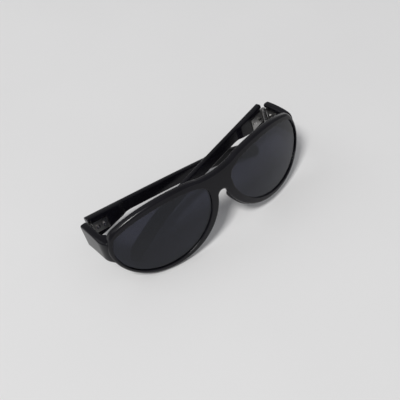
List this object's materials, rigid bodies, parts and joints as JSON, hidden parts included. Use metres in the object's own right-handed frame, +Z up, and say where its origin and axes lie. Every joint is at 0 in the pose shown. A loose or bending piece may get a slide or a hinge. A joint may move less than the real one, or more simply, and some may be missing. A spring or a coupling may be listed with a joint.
{
  "type": "wrap sunglasses",
  "caption": "Wrap-around sunglasses with a full rim, dark lenses, soft nose pads and slim folding temples on screwed barrel hinges, stored folded.",
  "frame": {"origin": "centre of the bounding box's bottom, on the table on which the folded glasses stand", "axes": "+Z up from the table, -Y the way the lenses face, +X to the wearer's left"},
  "size_m": [0.1418, 0.048, 0.0483],
  "materials": {
    "frame_gloss": "glossy black injection-moulded nylon",
    "lens_tint": "dark grey tinted polycarbonate, polished",
    "soft_rubber": "matt soft elastomer",
    "hinge_steel": "satin nickel silver",
    "screw_steel": "machined steel"
  },
  "bodies": {
    "front": {"front_frame": "frame_gloss", "lens_left": "lens_tint", "lens_right": "lens_tint", "nose_pad_left": "soft_rubber", "nose_pad_right": "soft_rubber", "front_hinge_leaf_left": "hinge_steel", "front_hinge_leaf_right": "hinge_steel", "front_leaf_screws_left": "screw_steel", "front_leaf_screws_right": "screw_steel", "hinge_screw_left": "screw_steel", "hinge_screw_right": "screw_steel"},
    "temple_left": {"temple_hinge_leaf_left": "hinge_steel", "temple_leaf_screws_left": "screw_steel", "temple_arm_left": "frame_gloss", "temple_tip_left": "soft_rubber"},
    "temple_right": {"temple_hinge_leaf_right": "hinge_steel", "temple_leaf_screws_right": "screw_steel", "temple_arm_right": "frame_gloss", "temple_tip_right": "soft_rubber"}
  },
  "joints": [
    {"name": "temple_right_hinge", "type": "hinge", "parent": "front", "child": "temple_right", "pos_m": [-0.06526, 0.01692, 0.01961], "axis": [-0.0448, 0.2842, 0.9577], "range_deg": [0, 88.6]},
    {"name": "temple_left_hinge", "type": "hinge", "parent": "front", "child": "temple_left", "pos_m": [0.0654, 0.01692, 0.02573], "axis": [0.0448, -0.2842, -0.9577], "range_deg": [0, 97]}
  ]
}
